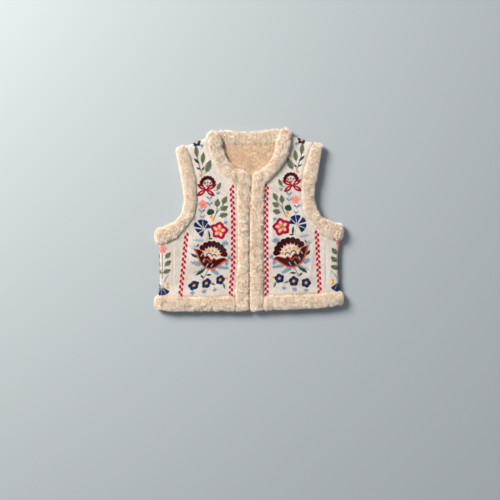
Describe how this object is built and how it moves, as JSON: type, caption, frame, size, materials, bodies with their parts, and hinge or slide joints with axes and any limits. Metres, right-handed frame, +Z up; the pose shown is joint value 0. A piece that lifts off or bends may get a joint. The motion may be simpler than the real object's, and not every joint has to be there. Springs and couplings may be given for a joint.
{
  "type": "gilet",
  "caption": "Sleeveless embroidered shearling waistcoat with fur collar, front bands, armhole bands and hem band, laid flat with its front up.",
  "frame": {"origin": "on the ground plane, under the middle of the gilet's box", "axes": "+Z up, out of the front of the gilet; +Y from the hem to the collar; +X to the right as seen from above, the wearer's left"},
  "size_m": [0.4894, 0.4712, 0.0262],
  "materials": {
    "suede": "warm white faux suede with a short soft nap",
    "fur": "cream plush faux fur",
    "thread": "glossy embroidery thread in satin stitch"
  },
  "bodies": {
    "root": {"back": "suede", "front_left": "suede", "front_right": "suede", "side_left": "suede", "side_right": "suede", "collar": "fur", "front_band_left": "fur", "front_band_right": "fur", "armhole_band_left": "fur", "armhole_band_right": "fur", "hem_band": "fur"}
  },
  "joints": []
}
